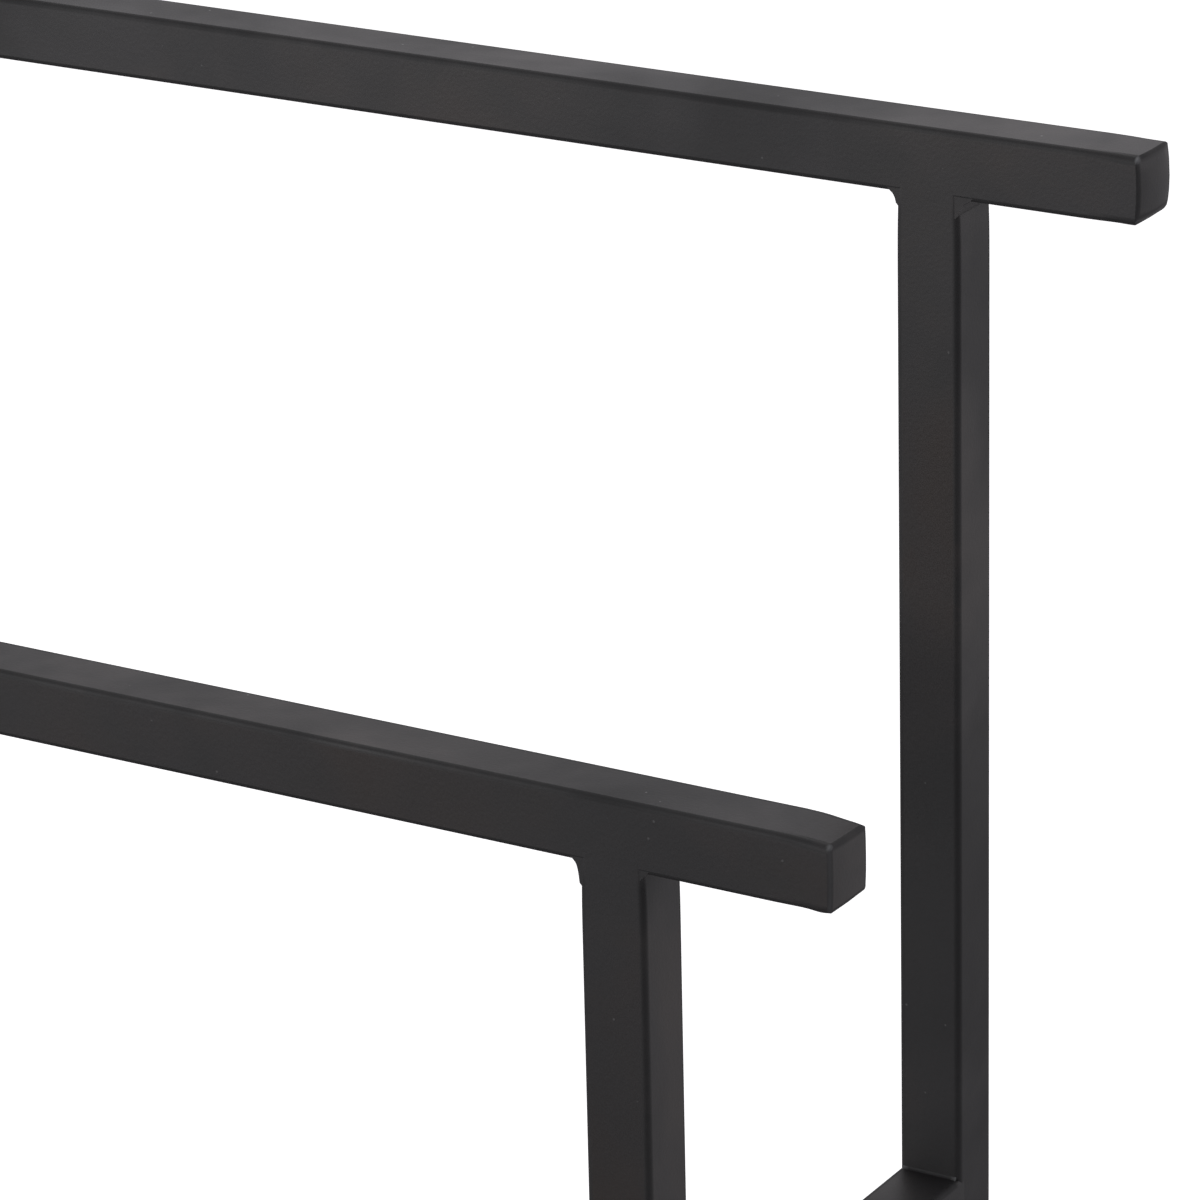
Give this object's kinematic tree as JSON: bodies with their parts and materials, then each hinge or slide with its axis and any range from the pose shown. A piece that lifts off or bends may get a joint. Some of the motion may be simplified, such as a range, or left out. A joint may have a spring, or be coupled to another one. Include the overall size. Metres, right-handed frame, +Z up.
{
  "type": "folding luggage rack",
  "caption": "Black square-tube luggage rack with two stepped back rails and a strap deck that folds up against them with its front frame.",
  "frame": {"origin": "middle of the footprint on the floor, under the centre of the bounding box", "axes": "+X along the rails to the right seen from the front, +Y to the back, +Z up"},
  "size_m": [0.64, 0.566, 0.74],
  "materials": {
    "black_powder_coat": "satin black powder coat on steel tube",
    "webbing": "woven black polyester webbing",
    "black_plastic": "moulded black plastic, fine texture",
    "nylon": "dark grey nylon",
    "black_steel": "black zinc plated steel, satin"
  },
  "bodies": {
    "stand": {"back_feet": "black_plastic", "back_stretcher": "black_powder_coat", "catch_screw": "black_steel", "left_back_post": "black_powder_coat", "left_lower_side_bar": "black_powder_coat", "left_middle_post": "black_powder_coat", "left_rear_deck_ear": "black_powder_coat", "left_rear_stay_ear": "black_powder_coat", "left_upper_side_bar": "black_powder_coat", "middle_feet": "black_plastic", "middle_rail": "black_powder_coat", "middle_rail_end_plates": "black_powder_coat", "middle_stretcher": "black_powder_coat", "rear_deck_bushes": "nylon", "rear_stay_bolts": "black_steel", "rear_stay_nuts": "black_steel", "rear_stay_washers": "black_steel", "right_back_post": "black_powder_coat", "right_lower_side_bar": "black_powder_coat", "right_middle_post": "black_powder_coat", "right_rear_deck_ear": "black_powder_coat", "right_rear_stay_ear": "black_powder_coat", "right_upper_side_bar": "black_powder_coat", "upper_rail": "black_powder_coat", "upper_rail_end_plates": "black_powder_coat"},
    "deck": {"deck_front_tube": "black_powder_coat", "deck_rear_tube": "black_powder_coat", "front_deck_bolts": "black_steel", "front_deck_plugs": "black_powder_coat", "left_deck_side_tube": "black_powder_coat", "rear_deck_bolts": "black_steel", "rear_deck_plugs": "black_powder_coat", "right_deck_side_tube": "black_powder_coat", "strap_1": "webbing", "strap_2": "webbing", "strap_3": "webbing", "strap_4": "webbing"},
    "front_frame": {"catch_stud": "black_steel", "front_deck_bushes": "nylon", "front_deck_ears": "black_powder_coat", "front_feet": "black_plastic", "front_rail": "black_powder_coat", "front_rail_end_plates": "black_powder_coat", "front_stay_bolts": "black_steel", "front_stay_ears": "black_powder_coat", "front_stay_nuts": "black_steel", "front_stay_washers": "black_steel", "front_stretcher": "black_powder_coat", "left_front_leg": "black_powder_coat", "right_front_leg": "black_powder_coat"},
    "left_stay": {"left_stay": "black_powder_coat", "left_stay_caps": "black_plastic"},
    "right_stay": {"right_stay": "black_powder_coat", "right_stay_caps": "black_plastic"},
    "catch": {"catch_hook": "black_steel"}
  },
  "joints": [
    {"name": "deck_fold", "type": "hinge", "parent": "stand", "child": "deck", "pos_m": [0, 0.067, 0.406], "axis": [-1, 0, 0], "range_deg": [0, 90]},
    {"name": "front_frame_fold", "type": "hinge", "parent": "deck", "child": "front_frame", "pos_m": [0, -0.245, 0.406], "axis": [-1, 0, 0], "range_deg": [-90, 0]},
    {"name": "left_stay_fold", "type": "hinge", "parent": "stand", "child": "left_stay", "pos_m": [-0.2317, 0.067, 0.054], "axis": [-1, 0, 0], "range_deg": [0, 90]},
    {"name": "right_stay_fold", "type": "hinge", "parent": "stand", "child": "right_stay", "pos_m": [0.2317, 0.067, 0.054], "axis": [-1, 0, 0], "range_deg": [0, 90]},
    {"name": "catch_swing", "type": "hinge", "parent": "stand", "child": "catch", "pos_m": [-0.265, 0.095, 0.54], "axis": [-1, 0, 0], "range_deg": [0, 120]}
  ],
  "couplings": [
    {"joint": "front_frame_fold", "follows": "deck_fold", "ratio": -1},
    {"joint": "left_stay_fold", "follows": "deck_fold", "ratio": 1},
    {"joint": "right_stay_fold", "follows": "deck_fold", "ratio": 1}
  ]
}
